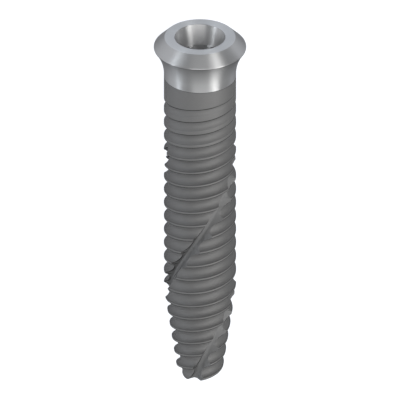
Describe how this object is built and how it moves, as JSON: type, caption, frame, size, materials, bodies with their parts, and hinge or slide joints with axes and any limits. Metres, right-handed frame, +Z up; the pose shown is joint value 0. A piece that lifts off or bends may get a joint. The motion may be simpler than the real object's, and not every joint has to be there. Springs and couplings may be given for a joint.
{
  "type": "dental implant",
  "caption": "Long screw-shaped dental implant with a flared smooth collar, a blasted threaded body, helical cutting flutes and a tapered tip.",
  "frame": {"origin": "centre of the footprint, on the surface that the implant lies on", "axes": "+X runs from the collar towards the tip along the surface, +Z is up; the implant's own axis lies in the XZ plane, 2.09 degrees off X with the collar's end higher, and its front in the picture faces up, 18 degrees to the -Y side"},
  "size_m": [0.02, 0.0048, 0.0048],
  "materials": {
    "titanium": "blasted and etched on the threaded body, machined smooth on the collar"
  },
  "bodies": {
    "root": {"implant_fixture": "titanium"}
  },
  "joints": []
}
